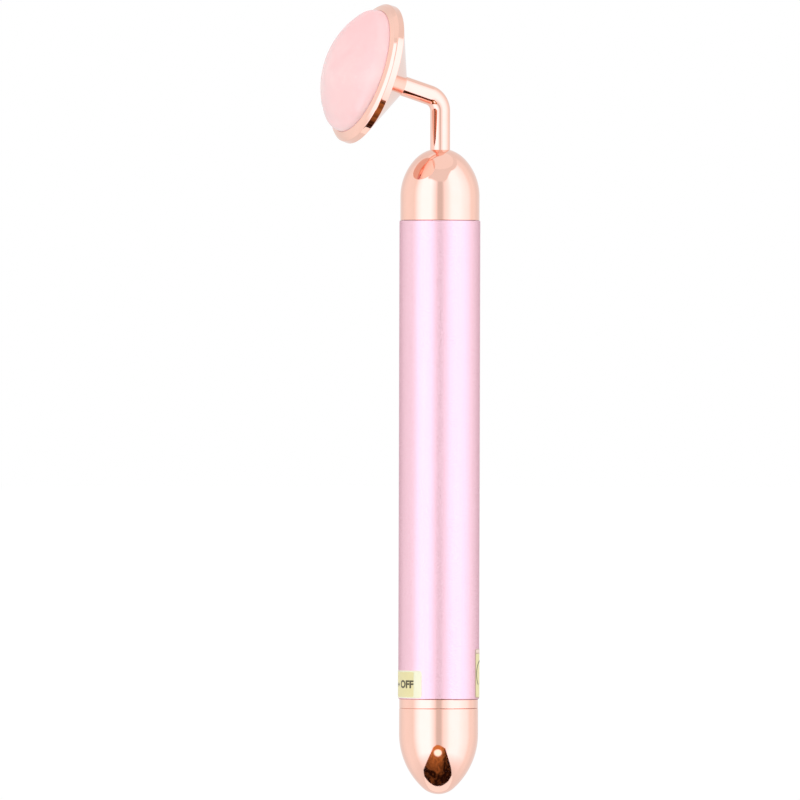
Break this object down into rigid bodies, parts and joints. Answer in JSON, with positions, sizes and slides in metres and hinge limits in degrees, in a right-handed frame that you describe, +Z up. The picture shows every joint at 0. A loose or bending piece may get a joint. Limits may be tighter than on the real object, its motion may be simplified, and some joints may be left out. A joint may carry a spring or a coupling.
{
  "type": "electric facial roller",
  "caption": "Slim battery facial massager: anodised tube handle with a twist end cap, and a bent stem with a domed stone head that the hidden motor shakes.",
  "frame": {"origin": "middle of the handle tube, on its axis", "axes": "+Z up the handle's axis towards the head; the stem bends towards -X; the labels are round the lower end"},
  "size_m": [0.0333, 0.0294, 0.1609],
  "materials": {
    "pink_aluminium": "satin pink anodised",
    "rose_gold": "polished rose gold plate",
    "rose_quartz": "polished pale pink quartz",
    "adhesive_foam": "matt foam tape",
    "white_plastic": "moulded",
    "black_plastic": "moulded",
    "steel": "drawn steel",
    "ground_steel": "ground",
    "ferrite": "sintered magnet",
    "laminations": "stamped stack",
    "weight_metal": "sintered",
    "brass_contact": "stamped brass",
    "nickel_plate": "nickel plated",
    "red_insulation": "wire insulation",
    "black_insulation": "wire insulation",
    "cell_can": "bare can",
    "cell_jacket": "plain film jacket",
    "liner_film": "rolled film",
    "seal_rubber": "moulded",
    "label_film": "printed film"
  },
  "bodies": {
    "handle": {"handle_tube": "pink_aluminium", "switch_collar": "rose_gold", "off_label": "label_film", "ring_label": "label_film", "battery_liner": "liner_film", "motor_holder": "white_plastic", "motor_can": "steel", "motor_end_cap": "black_plastic", "motor_magnets": "ferrite", "motor_terminals": "brass_contact", "positive_contact": "nickel_plate", "positive_lead": "red_insulation", "ground_lead": "black_insulation", "ground_tab": "brass_contact"},
    "socket": {"head_socket": "white_plastic"},
    "head": {"head_dome": "rose_gold", "head_plug": "white_plastic", "head_oring": "seal_rubber", "bent_stem": "rose_gold", "stem_washer": "ground_steel", "stem_nut": "ground_steel", "head_cup": "rose_gold", "stone_pad": "adhesive_foam", "massage_stone": "rose_quartz"},
    "rotor": {"motor_shaft": "ground_steel", "motor_armature": "laminations", "eccentric_weight": "weight_metal"},
    "battery": {"battery_cell": "cell_can", "battery_jacket": "cell_jacket"},
    "cap_carrier": {"cap_oring": "seal_rubber", "cap_contact": "nickel_plate", "contact_spring": "nickel_plate"},
    "cap": {"end_cap": "rose_gold", "cap_insert": "white_plastic"}
  },
  "joints": [
    {"name": "head_turn", "type": "hinge", "parent": "handle", "child": "socket", "pos_m": [0, 0, 0.0444], "axis": [0, 0, 1], "continuous": true},
    {"name": "head_pull", "type": "slide", "parent": "socket", "child": "head", "axis": [0, 0, 1], "range_m": [0, 0.03]},
    {"name": "motor_spin", "type": "hinge", "parent": "handle", "child": "rotor", "pos_m": [0, 0, 0.03], "axis": [0, 0, 1], "continuous": true},
    {"name": "cap_pull", "type": "slide", "parent": "handle", "child": "cap_carrier", "axis": [0, 0, -1], "range_m": [0, 0.125]},
    {"name": "cap_twist", "type": "hinge", "parent": "cap_carrier", "child": "cap", "pos_m": [0, 0, -0.0507], "axis": [0, 0, -1], "range_deg": [0, 60]},
    {"name": "battery_slide", "type": "slide", "parent": "handle", "child": "battery", "axis": [0, 0, -1], "range_m": [0, 0.0625]}
  ],
  "couplings": [
    {"joint": "battery_slide", "follows": "cap_pull", "ratio": 0.5}
  ]
}
